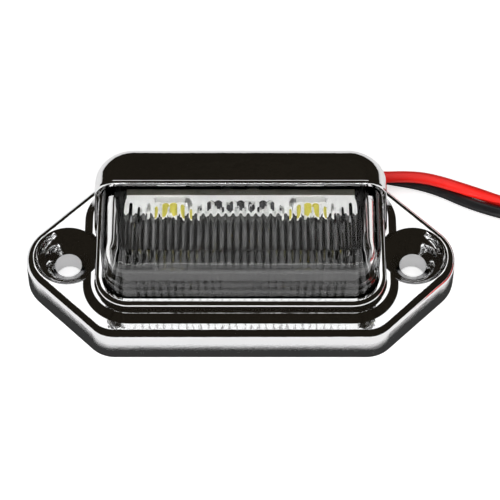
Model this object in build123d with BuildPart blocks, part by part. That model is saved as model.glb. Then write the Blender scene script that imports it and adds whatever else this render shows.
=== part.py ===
from build123d import *
import math
import os

os.makedirs("parts", exist_ok=True)

# Number plate lamp, in millimetres. The origin is the centre of the mounting face, X runs along the
# base from ear to ear, Y towards the hood, and Z away from the surface that the lamp is screwed to.

# Base with its two ears
base_length = 82.5
base_width = 36.0
base_height = 7.8
ear_radius = 8.0
corner_inset = 17.25
corner_radius = 6.0
edge_round = 1.5
top_wall = 1.8
rim_wall = 1.8

# Screw holes in the ears, each at the bottom of a round dish
screw_hole = 5.2
countersink = 8.9
countersink_depth = 1.7
dish = 13.0
dish_depth = 1.7
post_wall = 2.1

# Lens cap: its top runs level from the front and falls off in an arc under the hood
lens_end = 15.05
lens_front = 11.4
lens_rear = 13.2
lens_top = 23.2
lens_wall = 1.6
lens_corner = 5.0
lens_edge = 2.6
crown_start = 3.0
crown_radius = 20.0
lens_flange = 1.4
lens_flange_thickness = 1.1
lens_clearance = 0.2

# Flutes moulded on the inside of the lens
flute_pitch = 1.4
flute_margin = 4.5
flute_depth = 0.16
flute_end = 2.9

# Bezel round the foot of the lens, a lip above a small ledge
lip_width = 1.35
lip_height = 3.0
lip_round = 1.0
lip_lean = 0.15
ledge_width = 0.6
ledge_height = 1.15
foot_run = 1.6

# Hood over the back of the lens
hood_front = 5.6
hood_rear = 16.4
hood_side = 2.2
hood_rim_height = 24.5
hood_fall = 10.0
hood_draft = 3.0
hood_corner = 8.0
hood_edge = 4.2
rim_round = 0.5

# Gasket, back cover and the screws that hold it
gasket_thickness = 0.4
cover_recess = 0.4
cover_thickness = 1.2
cover_clearance = 0.15
clamp_rib = 1.0
rib_gap = 4.0
boss_shift = 2.65
boss_y = 8.6
boss_radius = 2.1
cover_screw = 2.0
cover_screw_head = 3.6
cover_screw_length = 4.6

# Reflector tray under the lens and the board that stands in its slot
tray_wall = 1.2
tray_clearance = 0.4
tray_floor = 9.6
shelf_top = 14.6
shelf_depth = 4.6
shelf_thickness = 3.0
ramp_run = 4.6
board_end = 4.7
board_top = 20.8
board_thickness = 1.2
board_face = 4.8
board_setback = 1.5
slot_depth = 2.0
slot_clearance = 0.05

# What is soldered on the board
led_inset = 8.4
led_width = 5.4
led_height = 5.0
led_thickness = 1.3
led_level = 17.6
phosphor = 4.2
phosphor_rise = 0.1
resistor_spacing = 9.0
resistor = (3.2, 0.55, 1.6)
diode = (2.7, 1.1, 1.6)
diode_chamfer = 0.3
solder_radius = 1.3

# Leads, and the grommet that they leave through at a slant to the back wall
lead_diameter = 2.3
lead_level = 2.9
lead_slant = 30.0
lead_gap = 0.2
exit_x = 15.0
exit_reach = 2.2
grommet_length = 14.0
grommet_top = 5.2
grommet_lip = 0.6
lead_riser = 9.85
lead_bend = 3.2
bend_share = 0.45
pad_level = 16.6

# Coil of the spare lead length, tied, with the stripped ends of the leads
coil_x = 68.5
coil_y = -5.25
coil_radius = 12.65
coil_turns = 1.9
coil_heading = -25.0
coil_stub = 13.0
coil_run = 4.5
coil_round = 0.8
tie_thickness = 0.5
tie_width = 2.6
tie_angle = -60.0
tie_head = (3.6, 3.4, 2.8)
tip_diameter = 1.3
tip_length = 6.0

# Values worked out from the sizes above, and the least distance that counts
tolerance = 0.01
ear_x = base_length / 2 - ear_radius
corner_spacing = base_length - 2 * corner_inset
corner_y = base_width / 2 - corner_radius
ceiling = base_height - top_wall
flange_top = ceiling - gasket_thickness
flange_bottom = flange_top - lens_flange_thickness
cover_top = cover_recess + cover_thickness
post_radius = screw_hole / 2 + post_wall
lens_length = base_length - 2 * lens_end
lens_depth = lens_front + lens_rear
lens_middle = (lens_rear - lens_front) / 2
lens_inside = lens_length / 2 - lens_wall
lens_ceiling = lens_top - lens_wall
flute_count = round((lens_length - 2 * flute_margin) / flute_pitch)
hood_length = lens_length + 2 * hood_side
board_length = lens_length - 2 * board_end
led_spacing = board_length - 2 * led_inset
boss_x = ear_x - boss_shift
slant = math.radians(lead_slant)
grommet_face = base_width / 2 + grommet_lip
grommet_x = exit_x - (grommet_lip + rim_wall / 2) / math.tan(slant)


# The outline of the base is the hull of the two ear circles and the four corner circles.
with BuildSketch() as base_outline:
    with Locations((ear_x, 0), (-ear_x, 0)):
        Circle(ear_radius)
    with GridLocations(corner_spacing, 2 * corner_y, 2, 2):
        Circle(corner_radius)
    make_hull()


def base_plan(inset):
    """The outline of the base, moved inwards all round by inset."""
    with BuildSketch() as plan:
        add(base_outline.sketch)
        offset(amount=-inset)
    return plan.sketch


def lens_plan(grow):
    """The outline of the lens seen from above, moved outwards all round by grow."""
    with BuildSketch() as plan:
        with Locations((0, lens_middle)):
            RectangleRounded(lens_length + 2 * grow, lens_depth + 2 * grow, lens_corner + grow)
    return plan.sketch


def lens_form(grow, bottom):
    """The capped form of the lens from the level bottom up, moved outwards all round by grow."""
    front = -lens_front - grow
    rear = lens_rear + grow
    top = lens_top + grow
    bend = crown_radius + grow
    sweep_angle = math.degrees(math.asin((rear - crown_start) / bend))
    with BuildPart() as form:
        with BuildSketch(Plane.YZ):
            with BuildLine():
                crown = CenterArc((crown_start, lens_top - crown_radius), bend, 90, -sweep_angle)
                Polyline((crown_start, top), (front, top), (front, bottom), (rear, bottom), crown @ 1)
            make_face()
        extrude(amount=lens_length / 2 + grow, both=True)
        fillet(form.edges().filter_by(Axis.Z), lens_corner + grow)
        rim = []
        for edge in form.faces().sort_by(Axis.Z)[-2:].edges():
            if abs(edge.center().Y - crown_start) > tolerance or edge.length < lens_inside:
                rim.append(edge)
        fillet(rim, lens_edge + grow)
    return form.part


# The hood is a drafted block with a sloping top, cut off square at its front rim.
with BuildPart() as hood_form:
    with BuildSketch(Plane.XY.offset(ceiling)):
        RectangleRounded(hood_length, 2 * hood_rear, hood_corner)
    extrude(amount=hood_rim_height, taper=hood_draft)
    with BuildSketch(Plane.YZ):
        rear_drop = (2 * hood_rear) * math.tan(math.radians(hood_fall))
        tall = 2 * hood_rim_height
        far = hood_front + 2 * hood_rear
        with BuildLine():
            Polyline(
                (hood_front, hood_rim_height),
                (far, hood_rim_height - rear_drop),
                (far, tall),
                (-far, tall),
                (-far, 0),
                (hood_front, 0),
                close=True,
            )
        make_face()
    extrude(amount=hood_length, both=True, mode=Mode.SUBTRACT)
    slope = hood_form.faces().sort_by(Axis.Z)[-1]
    shoulder = [edge for edge in slope.edges() if edge.center().Y > hood_front + tolerance]
    fillet(shoulder, hood_edge)
    front_face = hood_form.faces().sort_by(Axis.Y)[0]
    arch = [edge for edge in front_face.edges() if edge.center().Z > ceiling + tolerance]
    fillet(arch, rim_round)


# Housing: base, ears, bezel and hood are one chrome-plated moulding, open at the back.
with BuildPart() as housing:
    extrude(base_outline.sketch, amount=base_height)
    fillet(housing.edges().group_by(Axis.Z)[-1], edge_round)
    # Bezel: two sections carried round the foot of the lens, first the ledge and then the lip
    with BuildLine(Plane.XY.offset(base_height)) as bezel_path:
        add(lens_plan(lens_clearance).wire())
    start = bezel_path.line @ 0
    along = bezel_path.line % 0
    outward = Vector(along.Y, -along.X, 0)
    if outward.dot(start - Vector(0, lens_middle, start.Z)) < 0:
        outward = -outward
    side = Plane(origin=(start.X, start.Y, base_height), x_dir=outward, z_dir=outward.cross(Vector(0, 0, 1)))
    lip_foot = lip_width + lip_lean
    ledge_end = lip_foot + ledge_width
    with BuildSketch(side) as ledge_section:
        with BuildLine():
            Polyline(
                (0, -top_wall / 2),
                (0, ledge_height),
                (ledge_end, ledge_height),
                (ledge_end + foot_run, 0),
                (ledge_end + foot_run, -top_wall / 2),
                close=True,
            )
        make_face()
    sweep(path=bezel_path.wire())
    # The round dish of each ear cuts the ledge and stops at the lip
    dish_floor = base_height - dish_depth
    for place in (ear_x, -ear_x):
        with BuildSketch(Plane.XZ.move(Location((place, 0, 0)))):
            with BuildLine():
                bowl = RadiusArc((countersink / 2, dish_floor), (dish / 2, base_height), -2 * dish_depth)
                Polyline(
                    bowl @ 1,
                    (dish / 2, base_height + dish_depth),
                    (0, base_height + dish_depth),
                    (0, dish_floor),
                    bowl @ 0,
                )
            make_face()
        revolve(axis=Axis((place, 0, 0), (0, 0, 1)), mode=Mode.SUBTRACT)
    with BuildSketch(side) as lip_section:
        with BuildLine():
            crest = CenterArc((lip_width - lip_round, lip_height - lip_round), lip_round, 0, 90)
            Polyline(
                crest @ 1,
                (0, lip_height),
                (0, -top_wall),
                (lip_foot, -top_wall),
                (lip_foot, ledge_height),
                crest @ 0,
            )
        make_face()
    sweep(path=bezel_path.wire())
    add(hood_form.part)
    # Room for the lens, and the hollow behind it with the screw posts and bosses
    add(lens_form(lens_clearance, 0), mode=Mode.SUBTRACT)
    extrude(base_plan(rim_wall), amount=ceiling, mode=Mode.SUBTRACT)
    with BuildSketch() as posts:
        with Locations((ear_x, 0), (-ear_x, 0)):
            Circle(post_radius)
    extrude(amount=ceiling)
    with BuildSketch(Plane.XY.offset(cover_top)) as bosses:
        with GridLocations(2 * boss_x, 2 * boss_y, 2, 2):
            Circle(boss_radius)
    extrude(amount=ceiling - cover_top)
    with BuildSketch(Plane.XY.offset(cover_top)) as pilot_holes:
        with GridLocations(2 * boss_x, 2 * boss_y, 2, 2):
            Circle(cover_screw / 2)
    extrude(amount=cover_screw_length - cover_thickness, mode=Mode.SUBTRACT)
    # Countersink and screw hole of each ear, turned round the hole's axis
    for place in (ear_x, -ear_x):
        with BuildSketch(Plane.XZ.move(Location((place, 0, 0)))):
            with BuildLine():
                Polyline(
                    (0, dish_floor),
                    (countersink / 2, dish_floor),
                    (screw_hole / 2, dish_floor - countersink_depth),
                    (screw_hole / 2, -top_wall),
                    (0, -top_wall),
                    close=True,
                )
            make_face()
        revolve(axis=Axis((place, 0, 0), (0, 0, 1)), mode=Mode.SUBTRACT)
    # Notch in the back wall for the grommet
    with BuildSketch(Plane.XY):
        with Locations((grommet_x, base_width / 2 - rim_wall / 2)):
            Rectangle(grommet_length, 2 * rim_wall)
    extrude(amount=grommet_top, mode=Mode.SUBTRACT)

housing.part.label = "housing"
export_step(housing.part, "parts/housing.step")


# Lens: clear cap with a flange at its foot and flutes on the inside of its top and front
with BuildPart() as lens:
    add(lens_form(0, flange_bottom))
    extrude(Plane.XY.offset(flange_bottom) * lens_plan(lens_flange), amount=lens_flange_thickness)
    add(lens_form(-lens_wall, cover_top), mode=Mode.SUBTRACT)
    flute_span = flute_pitch * flute_count
    flute_root = flute_depth + lens_wall / 2
    inner_front = -lens_front + lens_wall
    points = [(-flute_span / 2, 0)]
    for tooth in range(flute_count):
        left = -flute_span / 2 + tooth * flute_pitch
        points.append((left + flute_pitch / 2, -flute_depth))
        points.append((left + flute_pitch, 0))
    points.append((flute_span / 2, flute_root - flute_depth))
    points.append((-flute_span / 2, flute_root - flute_depth))
    with BuildSketch(Plane(origin=(0, inner_front, lens_ceiling), x_dir=(1, 0, 0), z_dir=(0, -1, 0))):
        with BuildLine():
            Polyline(*points, close=True)
        make_face()
    extrude(amount=-(flute_end - inner_front))
    with BuildSketch(Plane(origin=(0, inner_front, flange_top), x_dir=(-1, 0, 0), z_dir=(0, 0, 1))):
        with BuildLine():
            Polyline(*points, close=True)
        make_face()
    extrude(amount=lens_ceiling - flange_top)

lens.part.label = "lens"
export_step(lens.part, "parts/lens.step")


# Lens gasket: flat rubber ring between the lens flange and the inside of the housing
with BuildPart() as lens_gasket:
    with BuildSketch(Plane.XY.offset(flange_top)):
        add(lens_plan(lens_flange - lens_clearance))
        add(lens_plan(lens_clearance), mode=Mode.SUBTRACT)
    extrude(amount=gasket_thickness)

lens_gasket.part.label = "lens_gasket"
export_step(lens_gasket.part, "parts/lens_gasket.step")


# Reflector tray: a moulding that stands on the cover inside the lens, with a low floor in front, a
# ramp up to a shelf at the back, and a slot in the shelf for the board
tray_front = -lens_front + lens_wall + tray_clearance
tray_rear = board_face - board_setback + shelf_depth
tray_half = lens_inside - tray_clearance
shelf_front = tray_rear - shelf_depth
ramp_foot = shelf_front - ramp_run
with BuildPart() as reflector:
    with BuildSketch(Plane.YZ):
        with BuildLine():
            Polyline(
                (tray_front, cover_top),
                (tray_front, tray_floor),
                (ramp_foot, tray_floor),
                (shelf_front, shelf_top),
                (tray_rear, shelf_top),
                (tray_rear, cover_top),
                close=True,
            )
        make_face()
    extrude(amount=tray_half, both=True)
    fillet(reflector.edges().filter_by(Axis.Z), lens_corner - lens_wall - tray_clearance)
    with BuildSketch(Plane.YZ):
        with BuildLine():
            Polyline(
                (tray_front + tray_wall, cover_top),
                (tray_front + tray_wall, tray_floor - tray_wall),
                (ramp_foot + tray_wall / 2, tray_floor - tray_wall),
                (shelf_front + tray_wall / 2, shelf_top - shelf_thickness),
                (tray_rear - tray_wall, shelf_top - shelf_thickness),
                (tray_rear - tray_wall, cover_top),
                close=True,
            )
        make_face()
    extrude(amount=tray_half - lens_corner + lens_wall, both=True, mode=Mode.SUBTRACT)
    with BuildSketch(Plane.XY.offset(shelf_top)):
        with Locations((0, board_face + board_thickness / 2)):
            Rectangle(board_length + 2 * slot_clearance, board_thickness + 2 * slot_clearance)
    extrude(amount=-slot_depth, mode=Mode.SUBTRACT)

reflector.part.label = "reflector"
export_step(reflector.part, "parts/reflector.step")


# Circuit board, standing on edge in the slot of the tray
board_bottom = shelf_top - slot_depth
with BuildPart() as circuit_board:
    with BuildSketch(Plane.XZ.offset(-board_face)):
        with Locations((0, (board_top + board_bottom) / 2)):
            Rectangle(board_length, board_top - board_bottom)
    extrude(amount=-board_thickness)

circuit_board.part.label = "circuit_board"
export_step(circuit_board.part, "parts/circuit_board.step")


# Light-emitting diodes: white bodies on the front of the board, each with a round phosphor window
for name, place in (("left", -led_spacing / 2), ("right", led_spacing / 2)):
    with BuildPart() as led_body:
        with BuildSketch(Plane.XZ.offset(-board_face)):
            with Locations((place, led_level)):
                Rectangle(led_width, led_height)
        extrude(amount=led_thickness)
        with BuildSketch(Plane.XZ.offset(led_thickness - board_face)):
            with Locations((place, led_level)):
                Circle(phosphor / 2)
        extrude(amount=-led_thickness / 2, mode=Mode.SUBTRACT)
    led_body.part.label = "led_" + name
    export_step(led_body.part, "parts/led_" + name + ".step")

    with BuildPart() as window:
        with BuildSketch(Plane.XZ.offset(led_thickness / 2 - board_face)):
            with Locations((place, led_level)):
                Circle(phosphor / 2)
        extrude(amount=led_thickness / 2 + phosphor_rise)
        fillet(window.edges().sort_by(Axis.Y)[0], phosphor_rise)
    window.part.label = "led_phosphor_" + name
    export_step(window.part, "parts/led_phosphor_" + name + ".step")


# Two chip resistors and the diode between them, on the front of the board
with BuildPart() as resistors:
    for place in (-resistor_spacing / 2, resistor_spacing / 2):
        with Locations((place, board_face, led_level)):
            Box(*resistor, align=(Align.CENTER, Align.MAX, Align.CENTER))

resistors.part.label = "resistors"
export_step(resistors.part, "parts/resistors.step")

with BuildPart() as reverse_diode:
    with Locations((0, board_face, led_level)):
        Box(*diode, align=(Align.CENTER, Align.MAX, Align.CENTER))
    chamfer(reverse_diode.faces().sort_by(Axis.Y)[0].edges(), diode_chamfer)

reverse_diode.part.label = "reverse_diode"
export_step(reverse_diode.part, "parts/reverse_diode.step")


# The leads leave the back wall at a slant, side by side. Each starts at its pad on the back of the
# board, comes down behind the tray and runs through its bore in the grommet.
heading = Vector(math.cos(slant), math.sin(slant), 0)
lead_pitch = lead_diameter + lead_gap
bore_offset = lead_pitch / math.sin(slant) / 2
riser_shift = (grommet_face - lead_riser) / math.tan(slant)
board_back = board_face + board_thickness
bore_x = {"red": exit_x + bore_offset, "black": exit_x - bore_offset}


def lead_exit(colour):
    """The point, clear of the grommet, where the free part of a lead starts."""
    return Vector(bore_x[colour], grommet_face, lead_level) + heading * exit_reach


def inner_route(colour):
    """The corners of a lead's inner part, from its solder joint to the outside of the grommet."""
    riser_x = bore_x[colour] - riser_shift
    return [
        (riser_x, board_back, pad_level),
        (riser_x, lead_riser, pad_level),
        (riser_x, lead_riser, lead_level),
        tuple(lead_exit(colour)),
    ]


# Solder joints: a dome on the back of the board for each lead
with BuildPart() as solder_joints:
    for colour in bore_x:
        with Locations((bore_x[colour] - riser_shift, board_back, pad_level)):
            Sphere(solder_radius)
    split(bisect_by=Plane.XZ.offset(-board_back), keep=Keep.BOTTOM)

solder_joints.part.label = "solder_joints"
export_step(solder_joints.part, "parts/solder_joints.step")


# Inner parts of the leads
for colour in bore_x:
    with BuildPart() as inner_lead:
        with BuildLine() as route:
            FilletPolyline(*inner_route(colour), radius=lead_bend)
        with BuildSketch(Plane(origin=route.line @ 0, z_dir=route.line % 0)):
            Circle(lead_diameter / 2)
        sweep()
        add(solder_joints.part, mode=Mode.SUBTRACT)
    inner_lead.part.label = colour + "_lead_inner"
    export_step(inner_lead.part, "parts/" + colour + "_lead_inner.step")


# Grommet: a rubber plug in the notch of the back wall, with a lip on each side of the wall
with BuildPart() as cable_grommet:
    wall_inside = base_width / 2 - rim_wall
    lip_length = grommet_length + 2 * grommet_lip
    with BuildSketch():
        with Locations((grommet_x, base_width / 2 - rim_wall / 2)):
            Rectangle(grommet_length, rim_wall)
    extrude(amount=grommet_top)
    with BuildSketch(Plane.XZ.offset(-grommet_face)):
        with Locations((grommet_x, 0)):
            Rectangle(lip_length, grommet_top + grommet_lip, align=(Align.CENTER, Align.MIN))
    extrude(amount=grommet_lip)
    fillet(cable_grommet.faces().sort_by(Axis.Y)[-1].edges().group_by(Axis.Z)[-1], grommet_lip / 2)
    with BuildSketch(Plane.XZ.offset(-wall_inside)):
        with Locations((grommet_x, cover_top)):
            lip_tall = min(grommet_top + grommet_lip, ceiling) - cover_top
            Rectangle(lip_length, lip_tall, align=(Align.CENTER, Align.MIN))
    extrude(amount=grommet_lip)
    for colour in bore_x:
        with BuildSketch(Plane(origin=lead_exit(colour), z_dir=heading)):
            Circle(lead_diameter / 2)
        extrude(amount=-grommet_length, mode=Mode.SUBTRACT)

cable_grommet.part.label = "cable_grommet"
export_step(cable_grommet.part, "parts/cable_grommet.step")


# Cover screws: countersunk, driven from behind into the bosses of the housing
with BuildPart() as cover_screws:
    head_radius = cover_screw_head / 2
    shank_radius = cover_screw / 2
    head_height = head_radius - shank_radius
    with GridLocations(2 * boss_x, 2 * boss_y, 2, 2):
        with Locations((0, 0, cover_recess)):
            Cone(head_radius, shank_radius, head_height, align=(Align.CENTER, Align.CENTER, Align.MIN))
            Cylinder(shank_radius, cover_screw_length, align=(Align.CENTER, Align.CENTER, Align.MIN))

cover_screws.part.label = "cover_screws"
export_step(cover_screws.part, "parts/cover_screws.step")


# Back cover: a plate inside the rim, with a rib that presses the lens flange on its gasket
with BuildPart() as back_cover:
    extrude(Plane.XY.offset(cover_recess) * base_plan(rim_wall + cover_clearance), amount=cover_thickness)
    with BuildSketch(Plane.XY.offset(cover_recess)):
        with Locations((ear_x, 0), (-ear_x, 0)):
            Circle(post_radius + cover_clearance)
    extrude(amount=cover_thickness, mode=Mode.SUBTRACT)
    with BuildSketch(Plane.XY.offset(cover_top)):
        add(lens_plan(lens_flange - lens_clearance))
        add(lens_plan(lens_flange - lens_clearance - clamp_rib), mode=Mode.SUBTRACT)
        gap_y = lens_rear + lens_flange - clamp_rib
        gap_x = exit_x - (grommet_face - gap_y) / math.tan(slant)
        with Locations((gap_x, gap_y)):
            Rectangle(grommet_length, rib_gap, mode=Mode.SUBTRACT)
    extrude(amount=flange_bottom - cover_top)
    add(cover_screws.part, mode=Mode.SUBTRACT)

back_cover.part.label = "back_cover"
export_step(back_cover.part, "parts/back_cover.step")


# Coil of the spare lead: the two leads lie side by side, wound clockwise in two layers, and their
# ends come off the upper layer
entry_angle = math.radians(coil_heading + 90)
coil_bottom = tie_thickness
lane = {"red": coil_radius + lead_pitch / 2, "black": coil_radius - lead_pitch / 2}
lane_level = coil_bottom + lead_diameter / 2
upper_level = lane_level + lead_diameter


def coil_point(radius, angle, level):
    """A point of the coil at a radius, an angle from the X axis and a level."""
    return Vector(coil_x + radius * math.cos(angle), coil_y + radius * math.sin(angle), level)


def coil_course(angle):
    """The direction in which the leads run at an angle of the coil."""
    return Vector(math.sin(angle), -math.cos(angle), 0)


def coil_start(colour):
    """The point where the free part of a lead meets the coil."""
    return coil_point(lane[colour], entry_angle, lane_level) - coil_course(entry_angle) * coil_stub


end_angle = entry_angle - 2 * math.pi * coil_turns
with BuildPart() as lead_coil:
    with BuildSketch(Plane.XY.offset(coil_bottom)):
        with Locations((coil_x, coil_y)):
            Circle(lane["red"] + lead_diameter / 2)
            Circle(lane["black"] - lead_diameter / 2, mode=Mode.SUBTRACT)
    extrude(amount=2 * lead_diameter)
    fillet(lead_coil.edges().filter_by(GeomType.CIRCLE), coil_round)
    across = coil_point(1, entry_angle, 0) - coil_point(0, entry_angle, 0)
    arriving = coil_course(entry_angle)
    stub_start = coil_point(coil_radius, entry_angle, lane_level) - arriving * coil_stub
    with BuildSketch(Plane(origin=stub_start, x_dir=across, z_dir=arriving)):
        Rectangle(lead_pitch + lead_diameter, lead_diameter)
    extrude(amount=coil_stub)
    for colour in lane:
        stub_end = coil_point(lane[colour], end_angle, upper_level)
        with BuildSketch(Plane(origin=stub_end, z_dir=coil_course(end_angle))):
            Circle(lead_diameter / 2)
        extrude(amount=coil_stub)

lead_coil.part.label = "lead_coil"
export_step(lead_coil.part, "parts/lead_coil.step")


# Tie round the coil
with BuildPart() as coil_tie:
    turn = math.radians(tie_angle)
    band = lead_pitch + lead_diameter + 2 * tie_thickness
    middle = coil_point(coil_radius, turn, coil_bottom + lead_diameter)
    with Locations(Location(middle, (0, 0, tie_angle))):
        Box(band, tie_width, 2 * lead_diameter + 2 * tie_thickness)
    head_middle = coil_point(coil_radius + (band + tie_head[0]) / 2, turn, middle.Z)
    with Locations(Location(head_middle, (0, 0, tie_angle))):
        Box(*tie_head)
    add(lead_coil.part, mode=Mode.SUBTRACT)

coil_tie.part.label = "coil_tie"
export_step(coil_tie.part, "parts/coil_tie.step")


# Stripped and tinned ends of the leads
for colour in lane:
    with BuildPart() as lead_tip:
        tail = coil_point(lane[colour], end_angle, upper_level) + coil_course(end_angle) * coil_stub
        with BuildSketch(Plane(origin=tail, z_dir=coil_course(end_angle))):
            Circle(tip_diameter / 2)
        extrude(amount=tip_length)
    lead_tip.part.label = colour + "_lead_tip"
    export_step(lead_tip.part, "parts/" + colour + "_lead_tip.step")


# Free parts of the leads, from the grommet to the coil. They lie on the mounting plane, the red lead
# crosses over the black one, and every arc is as large as its runs allow.
lead_points = {
    "red": [
        (21.66, 21.0, 2.9),
        (25.0, 21.85, 3.2),
        (28.4, 21.35, 3.48),
        (32.2, 21.5, 3.52),
        (36.0, 21.25, 3.52),
        (39.8, 20.2, 3.48),
        (43.6, 18.95, 3.15),
        (47.4, 18.2, 2.1),
        (51.4, 17.05, 1.25),
        (55.0, 16.1, 1.3),
    ],
    "black": [
        (16.83, 21.1, 2.9),
        (19.9, 22.85, 1.8),
        (23.4, 23.3, 1.17),
        (27.2, 23.0, 1.15),
        (31.0, 22.2, 1.15),
        (35.2, 21.35, 1.15),
        (39.6, 19.75, 1.15),
        (44.2, 17.2, 1.15),
        (48.8, 15.25, 1.15),
        (53.2, 13.9, 1.25),
    ],
}


def bend_radii(points):
    """For each corner, a share of its shorter run divided by the tangent of half its turn."""
    radii = []
    for before, corner, after in zip(points, points[1:], points[2:]):
        run_in = corner - before
        run_out = after - corner
        half_turn = math.radians(run_in.get_angle(run_out)) / 2
        radii.append(bend_share * min(run_in.length, run_out.length) / math.tan(half_turn))
    return radii


for colour in lead_points:
    arrival = coil_start(colour)
    points = [lead_exit(colour)] + [Vector(*point) for point in lead_points[colour]]
    points += [arrival - coil_course(entry_angle) * coil_run, arrival]
    radii = bend_radii(points)
    with BuildPart() as free_lead:
        with BuildLine() as route:
            FilletPolyline(*points, radius=radii)
        with BuildSketch(Plane(origin=route.line @ 0, z_dir=route.line % 0)):
            Circle(lead_diameter / 2)
        sweep()
    free_lead.part.label = colour + "_lead"
    export_step(free_lead.part, "parts/" + colour + "_lead.step")
    run_length = route.wire().length
    run_volume = math.pi * (lead_diameter / 2) ** 2 * run_length
    coiled = 2 * coil_stub + 2 * math.pi * coil_turns * lane[colour]
    print(colour, "lead radii", [round(radius, 1) for radius in radii])
    print(colour, "lead volume", round(free_lead.part.volume, 2), "section x length", round(run_volume, 2))
    print(colour, "whole length", round(run_length + coiled, 1))
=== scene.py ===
import math

import bpy
import numpy as np
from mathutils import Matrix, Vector


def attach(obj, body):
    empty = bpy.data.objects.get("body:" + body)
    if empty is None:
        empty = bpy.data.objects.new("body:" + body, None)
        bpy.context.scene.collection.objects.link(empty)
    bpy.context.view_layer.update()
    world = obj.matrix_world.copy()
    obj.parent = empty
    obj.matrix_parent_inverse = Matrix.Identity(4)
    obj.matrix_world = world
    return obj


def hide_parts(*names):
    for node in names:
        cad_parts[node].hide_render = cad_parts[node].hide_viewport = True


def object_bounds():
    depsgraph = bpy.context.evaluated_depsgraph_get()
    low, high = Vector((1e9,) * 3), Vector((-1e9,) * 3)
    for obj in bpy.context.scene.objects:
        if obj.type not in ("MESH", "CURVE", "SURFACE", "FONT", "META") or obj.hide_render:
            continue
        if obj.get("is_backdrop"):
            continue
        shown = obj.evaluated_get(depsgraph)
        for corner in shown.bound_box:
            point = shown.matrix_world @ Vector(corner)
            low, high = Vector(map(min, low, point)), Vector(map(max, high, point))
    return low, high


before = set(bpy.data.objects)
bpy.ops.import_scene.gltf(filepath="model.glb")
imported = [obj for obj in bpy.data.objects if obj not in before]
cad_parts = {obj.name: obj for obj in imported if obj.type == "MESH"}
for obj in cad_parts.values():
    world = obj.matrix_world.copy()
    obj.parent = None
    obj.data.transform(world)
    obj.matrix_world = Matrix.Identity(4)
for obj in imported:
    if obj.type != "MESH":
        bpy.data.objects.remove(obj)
cad_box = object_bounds()


# Camera: a long lens that looks down on the front of the lamp, as the photograph does.
# The lamp's centre stands a little left of and below the middle of the picture.
scene = bpy.context.scene
scene.view_settings.view_transform = "Standard"
camera_rise = math.radians(57.4)
camera_distance = 0.5
camera_data = bpy.data.cameras.new("camera")
camera_data.sensor_width = 36
camera_data.lens = 185
camera_data.shift_x = 0.0186
camera_data.shift_y = 0.0553
camera = bpy.data.objects.new("camera", camera_data)
camera.location = (0, -camera_distance * math.cos(camera_rise), camera_distance * math.sin(camera_rise))
camera.rotation_euler = (math.pi / 2 - camera_rise, 0, 0)
scene.collection.objects.link(camera)
scene.camera = camera


# Leads: a red and a black stranded wire in soft glossy insulation, stripped and tinned behind the board,
# where they are soldered. They leave the grommet behind the hood and run off to the right, and their spare
# length is wound up on the surface, outside the view.
class Wire:
    """An output socket of a material. Arithmetic on it adds Math nodes, and add() adds any other node."""

    def __init__(self, tree, socket=None):
        self.tree = tree
        self.socket = socket

    def add(self, kind, settings=None, inputs=None, out=0):
        """A node of a type: its settings are made first, then its sockets are set or linked."""
        node = self.tree.nodes.new(kind)
        for name, value in (settings or {}).items():
            setattr(node, name, value)
        for name, value in (inputs or {}).items():
            if isinstance(value, Wire):
                self.tree.links.new(value.socket, node.inputs[name])
            else:
                node.inputs[name].default_value = value
        return Wire(self.tree, node.outputs[out] if len(node.outputs) else None)

    def maths(self, operation, *values):
        """A Math node of an operation on values that are numbers or Wires."""
        return self.add("ShaderNodeMath", {"operation": operation}, dict(enumerate(values)))

    def __add__(self, other):
        return self.maths("ADD", self, other)

    def __sub__(self, other):
        return self.maths("SUBTRACT", self, other)

    def __rsub__(self, other):
        return self.maths("SUBTRACT", other, self)

    def __mul__(self, other):
        return self.maths("MULTIPLY", self, other)

    __radd__ = __add__
    __rmul__ = __mul__


def finish_of(name, colour, **constants):
    """A material with one Principled surface, and a Wire to draw its patterns with."""
    material = bpy.data.materials.new(name)
    material.use_nodes = True
    surface = material.node_tree.nodes["Principled BSDF"]
    surface.inputs["Base Color"].default_value = (*colour, 1)
    for socket, value in constants.items():
        surface.inputs[socket.replace("_", " ")].default_value = value
    return material, Wire(material.node_tree)


def feed(material, **sockets):
    """Links what varies over a surface to the sockets of the material's Principled surface."""
    surface = material.node_tree.nodes["Principled BSDF"]
    for socket, wire in sockets.items():
        material.node_tree.links.new(wire.socket, surface.inputs[socket.replace("_", " ")])


def noise(wire, scale, detail):
    """Noise on Object coordinates, in features of about 1 / scale metres."""
    place = wire.add("ShaderNodeTexCoord", out="Object")
    return wire.add("ShaderNodeTexNoise", {}, {"Vector": place, "Scale": scale, "Detail": detail})


def two_tone(wire, mask, dark, light):
    """A colour between two, by a mask from 0 to 1. Each of the two may be a colour or another Wire."""
    ends = [end if isinstance(end, Wire) else (*end, 1) for end in (dark, light)]
    return wire.add("ShaderNodeMix", {"data_type": "RGBA"}, {"Factor": mask, 6: ends[0], 7: ends[1]}, out=2)


def bump(wire, height, strength, distance):
    """A bump of a height pattern, distance metres deep at most."""
    return wire.add("ShaderNodeBump", {}, {"Height": height, "Strength": strength, "Distance": distance})


def axis(wire, name):
    """One of the Object coordinates."""
    place = wire.add("ShaderNodeTexCoord", out="Object")
    return wire.add("ShaderNodeSeparateXYZ", {}, {"Vector": place}, out=name)


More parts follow.
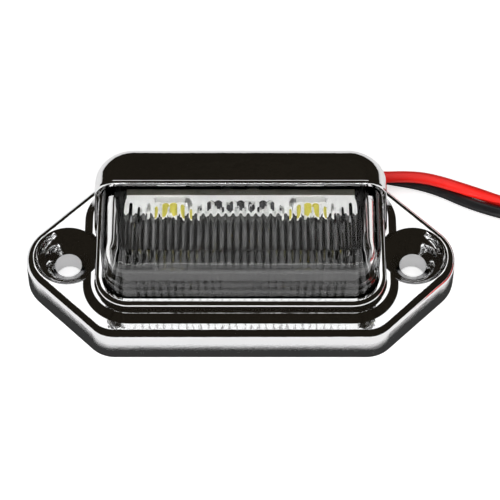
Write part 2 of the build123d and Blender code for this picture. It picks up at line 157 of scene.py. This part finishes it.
def smooth_copy(node, name, angle=30):
    """A copy of a solid's mesh with its points merged, and smooth but for edges sharper than an angle."""
    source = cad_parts[node]
    mesh = source.data.copy()
    mesh.materials.clear()
    piece = bpy.data.objects.new(name, mesh)
    scene.collection.objects.link(piece)
    corners = np.empty(len(mesh.vertices) * 3, np.float32)
    mesh.vertices.foreach_get("co", corners)
    faces = np.empty(len(mesh.loops), np.int32)
    mesh.loops.foreach_get("vertex_index", faces)
    places, back = np.unique(np.round(corners.reshape(-1, 3), 7), axis=0, return_inverse=True)
    triangles = back.ravel()[faces].reshape(-1, 3)
    whole = (triangles != np.roll(triangles, 1, 1)).all(1)
    mesh.clear_geometry()
    mesh.from_pydata(places, [], triangles[whole])
    mesh.shade_smooth()
    mesh.set_sharp_from_angle(angle=math.radians(angle))
    even = piece.modifiers.new("even_shading", "WEIGHTED_NORMAL")
    even.mode = "FACE_AREA"
    even.weight = 90
    even.keep_sharp = True
    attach(piece, "root")
    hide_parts(node)
    return piece


lead_radius = 0.00115
coil_middle = (0.0685, -0.00525)
coil_entry = math.radians(65)
coil_turns = 1.9
climb_turns = (0, 0.15, 0.85, 0.97, 1.7, 1.9)
climb_levels = (0.00115, 0.00165, 0.00165, 0.00395, 0.00395, 0.0055)
stub_runs = (0.004, 0.0085, 0.013)
stub_levels = (0.0052, 0.0032, 0.0016)
route = {
    "red": [
        (19.405, 19.7, 2.9), (21.66, 21.0, 2.9), (25.0, 21.85, 3.2), (28.4, 21.35, 3.48), (32.2, 21.5, 3.52),
        (36.0, 21.25, 3.52), (39.8, 20.2, 3.48), (43.6, 18.95, 3.15), (47.4, 18.2, 2.1), (51.4, 17.05, 1.25),
        (55.0, 16.1, 1.2), (58.51, 14.74, 1.15), (62.59, 12.84, 1.15),
    ],
    "black": [
        (14.405, 19.7, 2.9), (16.83, 21.1, 2.9), (19.9, 22.85, 1.8), (23.4, 23.3, 1.17), (27.2, 23.0, 1.15),
        (31.0, 22.2, 1.15), (35.2, 21.35, 1.15), (39.6, 19.75, 1.15), (44.2, 17.2, 1.15), (48.8, 15.25, 1.15),
        (53.2, 13.9, 1.15), (57.46, 12.48, 1.15), (61.54, 10.58, 1.15),
    ],
}
lane = {"red": 0.0139, "black": 0.0114}
bare_before = 0.0125
bare_inside = 0.03
insulation = {
    "red": ((0.8, 0.012, 0.008), (0.9, 0.02, 0.014)),
    "black": ((0.006, 0.006, 0.007), (0.018, 0.018, 0.019)),
}


def coil_line(radius):
    """The turns of the spare lead, c + r (cos(a), sin(a)), where the angle a falls from the entry. The first
    turn lies on the floor, the next climbs on to it, and the end comes down straight over its edge."""
    per_turn = 24
    turns = np.arange(0, coil_turns + 0.001, 1 / per_turn)
    angle = coil_entry - 2 * math.pi * turns
    reach = radius / math.cos(math.pi / per_turn)
    level = np.interp(turns, climb_turns, climb_levels)
    x = coil_middle[0] + reach * np.cos(angle)
    y = coil_middle[1] + reach * np.sin(angle)
    points = np.stack([x, y, level], 1)
    course = np.array([math.sin(angle[-1]), -math.cos(angle[-1]), 0])
    tail = points[-1] + np.outer(stub_runs, course)
    tail[:, 2] = stub_levels
    return np.vstack([points, tail])


leads = {}
tails = {}
for colour in ("red", "black"):
    points = np.vstack([np.array(route[colour]) / 1000, coil_line(lane[colour])])
    line = bpy.data.curves.new(colour + "_lead_line", "CURVE")
    line.dimensions = "3D"
    line.bevel_depth = lead_radius
    line.bevel_resolution = 6
    line.use_fill_caps = True
    spline = line.splines.new("NURBS")
    spline.points.add(len(points) - 1)
    spline.points.foreach_set("co", np.hstack([points, np.ones((len(points), 1))]).ravel())
    spline.use_endpoint_u = True
    spline.order_u = 3
    spline.resolution_u = 8
    lead = bpy.data.objects.new(colour + "_lead_free", line)
    scene.collection.objects.link(lead)
    dark, light = insulation[colour]
    material, wire = finish_of(colour + " insulation", light, IOR=1.5)
    smudge = noise(wire, 260, 4)
    behind_board = wire.maths("LESS_THAN", axis(wire, "Y"), bare_before)
    bare = behind_board * wire.maths("LESS_THAN", axis(wire, "X"), bare_inside)
    feed(
        material,
        Base_Color=two_tone(wire, bare, two_tone(wire, smudge, dark, light), (0.6, 0.6, 0.57)),
        Metallic=bare,
        Roughness=0.22 + smudge * 0.22,
        Normal=bump(wire, noise(wire, 1500, 2), 0.25, 0.00006),
    )
    inner = smooth_copy(colour + "_lead_inner", colour + "_lead_to_board", 45)
    for piece in (lead, inner):
        piece.data.materials.append(material)
        colour + "_insulation"
    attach(lead, "root")
    leads[colour] = lead
    tails[colour] = points[-2:]
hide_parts("red_lead", "lead_coil")
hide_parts("black_lead")


# Stripped ends: seven copper strands twisted together and dipped in tin, which leaves them bright.
# Each end comes straight out of its insulation, and its strands open a little at the cut.
tip_length = 0.006
tip_lift = 0.0012
tip_root = 0.0004
strand_count = 7
strand_radius = 0.00021
strand_gap = 2.03
strand_spread = 0.25
strand_sides = 8
strand_rings = 25


def grid_faces(first, rows, columns, around=False):
    """The quads of a grid of points that are numbered row by row, joined into a tube where it goes around."""
    step = np.arange(columns if around else columns - 1)
    start = first + columns * np.arange(rows - 1)[:, None]
    near, far = start + step, start + (step + 1) % columns
    return np.stack([near, far, far + columns, near + columns], 2).reshape(-1, 4)


def add_mesh(name, points, faces, angle=30):
    """An object of points and faces, smooth but for edges sharper than an angle, that rides with the lamp."""
    mesh = bpy.data.meshes.new(name)
    mesh.from_pydata(points, [], [face.tolist() for face in faces])
    mesh.shade_smooth()
    mesh.set_sharp_from_angle(angle=math.radians(angle))
    piece = bpy.data.objects.new(name, mesh)
    scene.collection.objects.link(piece)
    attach(piece, "root")
    return piece


def strands(tail):
    """Tubes p + s t + q (cos(a) n + sin(a) b) along the lead's last run t, one in the middle and six turning
    round it. They bend up by the square of their run, so that they lie on the floor."""
    start = tail[1]
    along = (tail[1] - tail[0]) / np.linalg.norm(tail[1] - tail[0])
    side = np.cross(along, (0, 0, 1))
    side = side / np.linalg.norm(side)
    rise = np.cross(side, along)
    run = np.linspace(-tip_root, tip_length, strand_rings)
    share = run / tip_length
    middle = start + run[:, None] * along + np.outer(tip_lift * share**2, (0, 0, 1))
    number = np.arange(strand_count)[:, None]
    turn = 2 * math.pi * (number / (strand_count - 1) + share)
    opening = 1 + strand_spread * np.clip(share, 0, 1) ** 3
    reach = np.where(number < strand_count - 1, strand_gap * strand_radius, 0) * opening
    line = middle + (reach * np.cos(turn))[..., None] * side + (reach * np.sin(turn))[..., None] * rise
    round_it = np.linspace(0, 2 * math.pi, strand_sides, endpoint=False)
    ring = strand_radius * (np.cos(round_it)[:, None] * side + np.sin(round_it)[:, None] * rise)
    return line[:, :, None] + ring


tin, wire = finish_of("bright tin", (0.74, 0.74, 0.72), Metallic=1.0)
frost = noise(wire, 1800, 3)
feed(
    tin,
    Base_Color=two_tone(wire, frost, (0.6, 0.6, 0.57), (0.82, 0.82, 0.8)),
    Roughness=0.2 + frost * 0.2,
)
for colour in leads:
    points = strands(tails[colour])
    size = strand_rings * strand_sides
    faces = []
    for first in range(0, strand_count * size, size):
        faces += list(grid_faces(first, strand_rings, strand_sides, True))
        last = first + size - strand_sides
        faces += [first + np.arange(strand_sides)[::-1], last + np.arange(strand_sides)]
    tip = add_mesh(colour + "_stripped_end", points.reshape(-1, 3), faces, 50)
    tip.data.materials.append(tin)
    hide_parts(colour + "_lead_tip")


# Housing: one plastic moulding with base, ears, bezel and hood, plated with bright chrome. It carries all the
# other pieces, and two screws through its ears hold it to the vehicle. The plating follows the small waves of
# the moulding, which stir its reflections.
housing = smooth_copy("housing", "plated_housing")
chrome, wire = finish_of("bright chrome plating", (0.83, 0.83, 0.835), Metallic=1.0)
waves = noise(wire, 420, 2) + 0.35 * noise(wire, 1500, 2)
haze = noise(wire, 90, 4)
feed(
    chrome,
    Base_Color=two_tone(wire, haze, (0.78, 0.78, 0.785), (0.86, 0.86, 0.865)),
    Roughness=0.03 + haze * 0.05,
    Normal=bump(wire, waves, 0.3, 0.0001),
)
housing.data.materials.append(chrome)


# Lens: a cap of clear plastic with round-topped flutes moulded inside its top and, fainter, its front.
# Its polished outside is plain, so only the flutes break up what is seen through it. Its foot flange lies
# under the bezel and is pressed up from below.
lens_half = 0.0262
lens_front = -0.0114
lens_rear = 0.0132
lens_top = 0.0232
lens_wall = 0.0016
lens_corner = 0.005
lens_edge = 0.0026
inner_edge = 0.0022
crown_start = 0.003
crown_radius = 0.02
flange_top = 0.0056
flange_bottom = 0.0045
flange_width = 0.0014
flute_pitch = 0.0014
flute_count = 31
flute_depth = 0.000315
flute_round = 0.5
flute_end = 0.0029
flute_run_out = 0.0003
front_loss = 0.87
points_per_flute = 14
corner_points = 14
edge_points = 9
cap_points = 22
wall_points = 12
lens_crease = 32


def lens_walls(grow):
    """Where the front and rear walls stand along the lens, grown outwards: straight, but in the corners on an
    arc. There x is the corner's centre + r cos(a), and the wall is set back by r - r sin(a)."""
    corner = lens_corner + grow
    span = flute_pitch * flute_count / 2
    middle = lens_half - lens_corner
    angle = np.linspace(0, math.acos((span - middle) / corner), corner_points)[:-1]
    side = middle + corner * np.cos(angle)
    fluted = np.linspace(-span, span, points_per_flute * flute_count + 1)
    x = np.concatenate([-side, fluted, side[::-1]])
    past = np.clip(np.abs(x) - middle, 0, corner)
    back = corner - np.sqrt(corner**2 - past**2)
    return x, lens_front - grow + back, lens_rear + grow - back


def flutes(x):
    """Ridges side by side: over each pitch u goes from -1 to 1, and the ridge falls from its middle by
    u^2 / 2 k, a round of half-width k, and past that by |u| - k / 2, two straight flanks, to 0 at both ends.
    """
    share = (x / flute_pitch + flute_count / 2) % 1
    inside = np.abs(x) < flute_pitch * flute_count / 2
    off = np.abs(2 * share - 1)
    drop = np.where(off < flute_round, off**2 / (2 * flute_round), off - flute_round / 2)
    return inside * flute_depth * (1 - drop / (1 - flute_round / 2))


def lens_skin(grow, edge, bottom, ridge):
    """One skin of the lens, a grid over x and a profile: up the front wall, over the cap, down the rear wall.
    The cap's height is h(y) - e + sqrt(e^2 - (e - d)^2) for an edge radius e, where d is how far the point
    lies inside the plan's outline, and h(y) is level, then falls on the crown's arc. Ridges stand on it."""
    x, front, rear = lens_walls(grow)
    corner = lens_corner + grow
    turn = edge * (1 - np.cos(np.linspace(0, math.pi / 2, edge_points)))
    near = front[:, None] + turn
    far = (rear[:, None] - turn)[:, ::-1]
    between = np.linspace(near[:, -1], far[:, 0], cap_points, axis=1)[:, 1:-1]
    y = np.hstack([near, between, far])
    middle = (lens_front + lens_rear) / 2
    half_x = lens_half + grow - corner
    half_y = (lens_rear - lens_front) / 2 + grow - corner
    over = np.stack(np.broadcast_arrays(np.abs(x)[:, None] - half_x, np.abs(y - middle) - half_y))
    depth = corner - np.hypot(*np.maximum(over, 0)) - np.minimum(over.max(0), 0)
    lean = np.clip((edge - depth) / edge, 0, 1)
    rise = np.sqrt(1 - lean**2)
    fall = np.clip(y - crown_start, 0, None)
    reach = crown_radius + grow
    strength = np.clip((flute_end - y) / flute_run_out, 0, 1) * (1 - front_loss * lean**2)
    raised = ridge(x)[:, None] * strength
    z = lens_top + grow - reach + np.sqrt(reach**2 - fall**2) - edge + (edge - raised) * rise
    y = y + raised * lean
    climb = np.linspace(0, 1, wall_points + 1)[:-1]
    front_z = bottom + (z[:, :1] - bottom) * climb
    rear_z = (bottom + (z[:, -1:] - bottom) * climb)[:, ::-1]
    y = np.hstack([np.repeat(y[:, :1], wall_points, 1), y, np.repeat(y[:, -1:], wall_points, 1)])
    z = np.hstack([front_z, z, rear_z])
    return np.stack([np.broadcast_to(x[:, None], y.shape), y, z], 2)


outer_skin = lens_skin(0, lens_edge, flange_top, np.zeros_like)
inner_skin = lens_skin(-lens_wall, inner_edge, flange_bottom, flutes)
rows, columns = outer_skin.shape[:2]
x, front, rear = lens_walls(flange_width)
foot = np.stack([np.concatenate([x, x[::-1]]), np.concatenate([front, rear[::-1]])], 1)
flange = [np.column_stack([foot, np.full(len(foot), height)]) for height in (flange_top, flange_bottom)]
points = np.vstack([outer_skin.reshape(-1, 3), inner_skin.reshape(-1, 3), *flange])
count = rows * columns
number = np.arange(count).reshape(rows, columns)
rim = np.concatenate([number[:, 0], number[::-1, -1]])
hoops = [rim, 2 * count + np.arange(2 * rows), 2 * count + 2 * rows + np.arange(2 * rows), count + rim]
faces = [*grid_faces(0, rows, columns)[:, ::-1], *grid_faces(count, rows, columns)]
faces += [number[0], number[-1, ::-1], count + number[0, ::-1], count + number[-1]]
for one, two in zip(hoops, hoops[1:]):
    faces += list(np.stack([one, two, np.roll(two, -1), np.roll(one, -1)], 1))
lens = add_mesh("clear_lens", points, faces, lens_crease)
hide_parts("lens")
clear, wire = finish_of(
    "clear lens plastic",
    (0.95, 0.955, 0.955),
    IOR=1.5,
    Transmission_Weight=1.0,
    Specular_Tint=(0.15, 0.15, 0.15, 1),
)
feed(clear, Roughness=0.005 + noise(wire, 150, 3) * 0.03)
lens.data.materials.append(clear)


# Lens gasket: a flat ring punched from soft black rubber sheet. It lies on the lens flange and is pressed
# against the housing when the cover's rib pushes the lens up.
rubber, wire = finish_of("black rubber", (0.03, 0.03, 0.03))
chalk = noise(wire, 700, 4)
feed(
    rubber,
    Base_Color=two_tone(wire, chalk, (0.02, 0.02, 0.02), (0.05, 0.05, 0.048)),
    Roughness=0.6 + chalk * 0.25,
)


def dress(node, material):
    """Gives a solid of the frame its material."""
    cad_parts[node].data.materials.clear()
    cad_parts[node].data.materials.append(material)


dress("lens_gasket", rubber)


# Reflector tray: moulded plastic with a dark, vacuum-coated metal film, which holds the board in a slot.
# The film is thin and a little cloudy, so it mirrors the diodes softly.
tray = smooth_copy("reflector", "reflector_tray")
film, wire = finish_of("metal film on the tray", (0.09, 0.09, 0.09), Metallic=1.0)
cloud = noise(wire, 200, 4)
feed(
    film,
    Base_Color=two_tone(wire, cloud, (0.065, 0.065, 0.067), (0.11, 0.108, 0.106)),
    Roughness=0.06 + cloud * 0.08,
)
tray.data.materials.append(film)


# Circuit board: white solder mask on dark glass cloth, which shows on its cut edge, standing in the tray.
# Tinned pads show beside each diode, and a faint raised line where a copper trace runs under the mask.
diode_place = 0.0131
diode_level = 0.0176
board_top = 0.0208
cut_edge = 0.0001
pad_offset = 0.0031
pad_half = (0.00035, 0.0021)
trace_level = 0.0156
trace_half = (0.0195, 0.0002)


def near(wire, value, middle, half):
    """1 where a value lies within half of a middle, else 0."""
    return wire.maths("COMPARE", value, middle, half)


def aside(wire, place):
    """The distance along the lamp from the nearer of two points that lie at a place on either side."""
    return wire.maths("ABSOLUTE", wire.maths("ABSOLUTE", axis(wire, "X")) - place)


solder_mask, wire = finish_of("white solder mask", (0.88, 0.88, 0.86))
grain = noise(wire, 900, 3)
level = axis(wire, "Z")
beside_diode = near(wire, aside(wire, diode_place), pad_offset, pad_half[0])
pad = beside_diode * near(wire, level, diode_level, pad_half[1])
trace = near(wire, level, trace_level, trace_half[1]) * near(wire, axis(wire, "X"), 0, trace_half[0])
cut = wire.maths("GREATER_THAN", level, board_top - cut_edge)
coat = two_tone(wire, grain, (0.84, 0.84, 0.82), (0.92, 0.92, 0.9))
plain = two_tone(wire, cut, coat, (0.13, 0.125, 0.095))
traced = two_tone(wire, trace, plain, (0.78, 0.8, 0.76))
feed(
    solder_mask,
    Base_Color=two_tone(wire, pad, traced, (0.7, 0.7, 0.68)),
    Metallic=pad,
    Roughness=0.35 + grain * 0.2,
    Normal=bump(wire, trace, 0.6, 0.00004),
)
dress("circuit_board", solder_mask)


# Light-emitting diodes: white moulded packages, each with three tinned contacts on either end, in rows a third
# of the package apart, by which they are soldered flat to the board.
contact_pitch = 0.0016
contact_half = 0.00045
contact_start = 0.0025
package, wire = finish_of("white diode package", (0.9, 0.9, 0.87))
speck = noise(wire, 1200, 2)
off_row = wire.maths("PINGPONG", axis(wire, "Z") - diode_level, contact_pitch / 2)
on_row = wire.maths("LESS_THAN", off_row, contact_half)
contact = on_row * wire.maths("GREATER_THAN", aside(wire, diode_place), contact_start)
moulding = two_tone(wire, speck, (0.86, 0.86, 0.82), (0.93, 0.93, 0.9))
feed(
    package,
    Base_Color=two_tone(wire, contact, moulding, (0.72, 0.72, 0.7)),
    Metallic=contact,
    Roughness=0.25 + speck * 0.12,
)
dress("led_left", package)
dress("led_right", package)


# Phosphor windows: yellow phosphor grains in clear resin, which fill the round well of each diode.
# The resin stands a little proud and is glossy.
phosphor, wire = finish_of("yellow phosphor resin", (0.64, 0.56, 0.07), Coat_Weight=0.5)
grains = noise(wire, 4000, 3)
feed(
    phosphor,
    Base_Color=two_tone(wire, grains, (0.58, 0.5, 0.04), (0.7, 0.63, 0.1)),
    Roughness=0.2 + grains * 0.2,
)
dress("led_phosphor_left", phosphor)
dress("led_phosphor_right", phosphor)


# Chips: two resistors in black glaze with tinned ends, and a moulded diode with a grey cathode band.
# They are soldered in the middle of the board, between the two lights.
resistor_place = 0.0045
resistor_glazed = 0.00112
cathode_place = 0.00085
cathode_half = 0.0002
glaze, wire = finish_of("resistor glaze", (0.04, 0.04, 0.04))
pits = noise(wire, 2500, 3)
ends = wire.maths("GREATER_THAN", aside(wire, resistor_place), resistor_glazed)
black = two_tone(wire, pits, (0.02, 0.02, 0.022), (0.06, 0.06, 0.06))
feed(
    glaze,
    Base_Color=two_tone(wire, ends, black, (0.75, 0.75, 0.73)),
    Metallic=ends,
    Roughness=0.3 + pits * 0.2,
)
dress("resistors", glaze)
compound, wire = finish_of("black moulding compound", (0.03, 0.03, 0.03))
pits = noise(wire, 2500, 3)
cathode = near(wire, axis(wire, "X"), cathode_place, cathode_half)
black = two_tone(wire, pits, (0.018, 0.018, 0.018), (0.045, 0.045, 0.045))
feed(
    compound,
    Base_Color=two_tone(wire, cathode, black, (0.5, 0.5, 0.5)),
    Roughness=0.4 + pits * 0.25,
)
dress("reverse_diode", compound)


# Solder joints: domes of bright tin on the back of the board, one where each lead is soldered.
# Their surface is a little frosted, as it sets.
dress("solder_joints", tin)


# Cable grommet: a block moulded of the same soft black rubber as the gasket, with a bore for each lead.
# It is pushed into the notch of the back wall, and the cover holds it there.
grommet = smooth_copy("cable_grommet", "rubber_grommet")
grommet.data.materials.append(rubber)


# Back cover: a black moulded plate, fine matt outside, with round marks of the ejector pins.
# It closes the housing and lies a little inside its rim.
pin_spacing = 0.018
pin_radius = 0.0026
pin_line = 0.00015
matt, wire = finish_of("fine matt black plastic", (0.03, 0.03, 0.03))
spark = noise(wire, 3500, 2)
reach_x = wire.maths("PINGPONG", axis(wire, "X") + pin_spacing / 2, pin_spacing / 2)
reach_y = wire.maths("PINGPONG", axis(wire, "Y") + pin_spacing / 2, pin_spacing / 2)
distance = wire.maths("SQRT", reach_x * reach_x + reach_y * reach_y)
mark = near(wire, distance, pin_radius, pin_line)
feed(
    matt,
    Base_Color=two_tone(wire, spark, (0.02, 0.02, 0.021), (0.05, 0.05, 0.05)),
    Roughness=0.55 + spark * 0.2,
    Normal=bump(wire, spark * 0.3 + mark, 0.4, 0.00008),
)
cover = smooth_copy("back_cover", "moulded_cover")
cover.data.materials.append(matt)


# Cover screws: four small countersunk screws of zinc-plated steel, with a cross recess.
# They are driven from behind into the housing's bosses, each stopping at its own angle.
screw_x = 0.0306
screw_y = 0.00859
screw_sides = 64
screw_face = 0.0004
face_reach = (0.00003, 0.0017)
cross_arm = (0.0003, 0.001)
cross_flank = (0.0001, 0.00012)
cross_depth = 0.0007
cross_taper = 0.3
cross_end = 0.0011
cone_top = (0.00174, 0.00045)
cone_foot = (0.001, 0.00119)
shank_ends = (0.00122, 0.005)
shank_radius = 0.00098
shank_point = (0.0052, 0.0006)
thread_pitch = 0.0007
thread_depth = 0.00016


def screw(x, y, turn):
    """A screw turned from a profile r(t), z(t). Its face has a cross, two arms of |u| < w and |v| < l,
    pressed in, and its shank a thread, r less a saw-tooth of z / pitch + angle / 2 pi."""
    angle = np.linspace(0, 2 * math.pi, screw_sides, endpoint=False)
    reach = np.linspace(*face_reach, 30)[:, None]
    u = np.abs(reach * np.cos(angle + turn))
    v = np.abs(reach * np.sin(angle + turn))
    narrow = [np.clip((cross_arm[0] - part) / cross_flank[0] + 0.5, 0, 1) for part in (u, v)]
    short = [np.clip((cross_arm[1] - part) / cross_flank[1] + 0.5, 0, 1) for part in (v, u)]
    cross = np.maximum(narrow[0] * short[0], narrow[1] * short[1])
    pressed = screw_face + cross_depth * cross * (1 - cross_taper * (reach / cross_end) ** 2)
    run = np.linspace(*shank_ends, 60)[:, None]
    saw = np.abs(2 * ((run / thread_pitch + angle / (2 * math.pi)) % 1) - 1)
    shank = (shank_radius - thread_depth * saw) * np.clip((shank_point[0] - run) / shank_point[1], 0.3, 1)
    cone = np.linspace(cone_top, cone_foot, 3)
    radius = np.vstack([np.repeat(reach, screw_sides, 1), np.repeat(cone[:, :1], screw_sides, 1), shank])
    height = np.vstack([pressed, np.repeat(cone[:, 1:], screw_sides, 1), np.repeat(run, screw_sides, 1)])
    return np.stack([x + radius * np.cos(angle), y + radius * np.sin(angle), height], 2)


places = [(a, b) for a in (-1, 1) for b in (-1, 1)]
points = np.stack([screw(a * screw_x, b * screw_y, 0.4 + 0.7 * a + 1.1 * b) for a, b in places])
rings = points.shape[1]
faces = []
for first in range(0, 4 * rings * screw_sides, rings * screw_sides):
    last = first + (rings - 1) * screw_sides
    faces += list(grid_faces(first, rings, screw_sides, True))
    faces += [first + np.arange(screw_sides)[::-1], last + np.arange(screw_sides)]
screws = add_mesh("cross_recess_screws", points.reshape(-1, 3), faces)
zinc, wire = finish_of("zinc-plated steel", (0.62, 0.62, 0.62), Metallic=1.0)
bloom = noise(wire, 1400, 4)
feed(
    zinc,
    Base_Color=two_tone(wire, bloom, (0.5, 0.5, 0.5), (0.7, 0.7, 0.69)),
    Roughness=0.25 + bloom * 0.2,
)
screws.data.materials.append(zinc)
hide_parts("cover_screws")


# Coil tie: a nylon strap with cross teeth, pulled tight through its head round both layers of the coil.
# The head stands on the outside of the coil, with the strap's end cut off flush.
tie_turn = math.radians(-60)
tie_outward = np.array([math.cos(tie_turn), math.sin(tie_turn), 0])
tie_across = np.array([-math.sin(tie_turn), math.cos(tie_turn), 0])
tie_level = 0.0028
tie_reach = 0.01265
tie_middle = np.array([*coil_middle, tie_level]) + tie_reach * tie_outward
strap_half = (0.00265, 0.00255)
strap_corner = 0.00105
strap_width = 0.0026
strap_thickness = 0.0005
strap_points = 240
bend_points = 12
tooth = 0.0009
tooth_share = 0.1
head_start = 0.0029
head_half = (0.0018, 0.0017, 0.0014)
head_power = 8
head_rings = 33
head_sides = 64


def strap():
    """A rounded rectangle round the coil, c + r (cos(a), sin(a)) at each corner c, carried across the strap's
    width with the outside notched along its run."""
    quarter = np.linspace(0, math.pi / 2, bend_points)
    angle = np.concatenate([quarter + k * math.pi / 2 for k in range(4)])
    corner = np.array(strap_half) - strap_corner
    signs = np.repeat([(1, 1), (-1, 1), (-1, -1), (1, -1)], bend_points, 0)
    outline = signs * corner + strap_corner * np.stack([np.cos(angle), np.sin(angle)], 1)
    outline = np.vstack([outline, outline[:1]])
    run = np.concatenate([[0], np.cumsum(np.hypot(*np.diff(outline, axis=0).T))])
    even = np.linspace(0, run[-1], strap_points)
    flat = np.stack([np.interp(even, run, outline[:, k]) for k in (0, 1)], 1)
    course = np.gradient(flat, axis=0)
    course = course / np.hypot(*course.T)[:, None]
    normal = np.stack([course[:, 1], -course[:, 0]], 1)
    notch = tooth_share * (even / tooth % 1 < 0.5)
    width = np.array([-0.5, -0.5, -0.45, 0.45, 0.5, 0.5, 0.45, -0.45]) * strap_width
    depth = np.array([-0.3, 0.3, 0.5, 0.5, 0.3, -0.3, -0.5, -0.5]) * strap_thickness
    depth = depth - np.outer(notch, depth > 0) * strap_thickness
    section = flat[:, None] + normal[:, None] * depth[..., None]
    level = section[..., 1:] * np.array([0, 0, 1])
    return tie_middle + section[..., :1] * tie_outward + width[:, None] * tie_across + level


def tie_head():
    """A block with rounded edges: |x / a|^8 + |y / b|^8 + |z / c|^8 = 1, over two angles."""
    high = np.linspace(0.06, math.pi - 0.06, head_rings)[:, None]
    low = np.linspace(0, 2 * math.pi, head_sides, endpoint=False)
    ball = (np.sin(high) * np.cos(low), np.sin(high) * np.sin(low), np.cos(high))
    way = np.stack(np.broadcast_arrays(*ball), 2)
    way = way / ((np.abs(way) / head_half) ** head_power).sum(2, keepdims=True) ** (1 / head_power)
    middle = tie_middle + (head_start + head_half[0]) * tie_outward
    level = way[..., 2:] * np.array([0, 0, 1])
    return middle + way[..., :1] * tie_outward + way[..., 1:2] * tie_across + level


loop = strap().reshape(-1, 3)
head = tie_head().reshape(-1, 3)
first = len(loop)
last = first + len(head) - head_sides
faces = [*grid_faces(0, strap_points, 8, True), *grid_faces(first, head_rings, head_sides, True)[:, ::-1]]
faces += [first + np.arange(head_sides), last + np.arange(head_sides)[::-1]]
tie = add_mesh("toothed_tie", np.vstack([loop, head]), faces, 40)
nylon, wire = finish_of("black nylon", (0.05, 0.05, 0.05))
dull = noise(wire, 900, 4)
feed(
    nylon,
    Base_Color=two_tone(wire, dull, (0.02, 0.02, 0.02), (0.06, 0.06, 0.062)),
    Roughness=0.4 + dull * 0.25,
)
tie.data.materials.append(nylon)
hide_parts("coil_tie")


# Floor: a plain sheet of white paper. To the eye it is white, and the lamp still leaves its shadow on it.
# In the chrome it is a dim grey, with a painted shadow close to the base, but for what shows through the screw
# holes.
floor_half = 3
floor_level = -0.0001
floor_glow = 0.6
mirror_loss = 0.4
contact_shade_reach = 0.003
contact_shade_strength = 0.95
screw_hole_place = 0.03325
screw_hole_radius = 0.0026
corners = [(x * floor_half, y * floor_half, floor_level) for x, y in ((-1, -1), (1, -1), (1, 1), (-1, 1))]
floor_mesh = bpy.data.meshes.new("floor")
floor_mesh.from_pydata(corners, [], [(0, 1, 2, 3)])
floor = bpy.data.objects.new("floor", floor_mesh)
scene.collection.objects.link(floor)
floor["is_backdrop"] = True
paper = bpy.data.materials.new("white sheet")
paper.use_nodes = True
paper.node_tree.nodes.clear()
wire = Wire(paper.node_tree)
to_eye = wire.add("ShaderNodeLightPath", out="Is Camera Ray")
to_mirror = wire.add("ShaderNodeLightPath", out="Is Glossy Ray")
to_lens = wire.add("ShaderNodeLightPath", out="Is Transmission Ray")
seen = wire.maths("MAXIMUM", to_eye, wire.maths("MAXIMUM", to_mirror, to_lens))
fibre = wire.add("ShaderNodeBsdfDiffuse", {}, {"Color": (0.8, 0.8, 0.8, 1)})
open_sky = wire.add("ShaderNodeAmbientOcclusion", {"samples": 8}, {"Distance": contact_shade_reach}, out="AO")
# Painted shade: in reflections only, the floor turns dark where ambient occlusion finds the lamp close by, as
# a painted contact shadow. The floor under the screw holes is left out of it.
painted_contact_shade = wire.add("ShaderNodeMapRange", {}, {"Value": open_sky, "From Min": 0.98, "From Max": 0.88})
away = aside(wire, screw_hole_place)
across = axis(wire, "Y")
under_metal = wire.maths("GREATER_THAN", away * away + across * across, screw_hole_radius**2)
glow = wire.add("ShaderNodeEmission", {}, {"Color": floor_glow - mirror_loss * to_mirror})
lit = wire.add("ShaderNodeAddShader", {}, {0: fibre, 1: glow})
dim = wire.add("ShaderNodeMixShader", {}, {0: contact_shade_strength * to_mirror * painted_contact_shade * under_metal, 1: lit})
sheet = wire.add("ShaderNodeMixShader", {}, {0: seen, 1: fibre, 2: dim})
wire.add("ShaderNodeOutputMaterial", {}, {"Surface": sheet})
floor_mesh.materials.append(paper)


# Light: a broad soft box behind and above the lamp, which the chrome mirrors, and lamps in front and above
# that light what lies under the lens and show in its flutes, but not in the chrome. The room round them is
# dark, and white only to the camera.
def soft_box(name, place, aim, width, height, radiance):
    """A rectangular lamp of one brightness, turned from its place towards a point."""
    lamp = bpy.data.lights.new(name, "AREA")
    lamp.shape = "RECTANGLE"
    lamp.size = width
    lamp.size_y = height
    lamp.energy = radiance * math.pi * width * height
    holder = bpy.data.objects.new(name, lamp)
    holder.location = place
    holder.rotation_euler = (Vector(aim) - Vector(place)).to_track_quat("-Z", "Y").to_euler()
    scene.collection.objects.link(holder)
    return holder


soft_box("soft_box_back", (0, 0.43, 0.67), (0, 0, 0), 0.5, 0.26, 1.3)
for fill in (
    soft_box("fill_front", (0, -0.7, 0.12), (0, 0, 0.015), 1.2, 0.2, 13.0),
    soft_box("fill_above", (0, 0, 0.85), (0, 0, 0), 0.8, 0.6, 2.3),
    soft_box("fill_high", (0, -0.45, 0.58), (0, 0, 0.015), 0.8, 0.3, 2.5),
    soft_box("strip_left", (-0.42, -0.58, 0.38), (0, 0, 0.015), 0.32, 0.25, 1.1),
    soft_box("strip_right", (0.42, -0.58, 0.38), (0, 0, 0.015), 0.32, 0.25, 1.1),
):
    fill.visible_glossy = False

room = bpy.data.worlds.new("studio")
scene.world = room
room.use_nodes = True
room.node_tree.nodes.clear()
wire = Wire(room.node_tree)
direction = wire.add("ShaderNodeTexCoord", out="Generated")
banded = wire.add("ShaderNodeMapping", {}, {"Vector": direction, "Scale": (9, 9, 90)})
shapes = wire.add("ShaderNodeTexNoise", {}, {"Vector": banded, "Scale": 1.0, "Detail": 3.0})
gloom = two_tone(wire, shapes, (0.0, 0.0, 0.0), (0.03, 0.025, 0.018))
walls = wire.add("ShaderNodeBackground", {}, {"Color": gloom})
white = wire.add("ShaderNodeBackground", {}, {"Color": (1, 1, 1, 1)})
to_camera = wire.add("ShaderNodeLightPath", out="Is Camera Ray")
view = wire.add("ShaderNodeMixShader", {}, {0: to_camera, 1: walls, 2: white})
wire.add("ShaderNodeOutputWorld", {}, {"Surface": view})


size = {"cad": cad_box, "scene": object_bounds()}
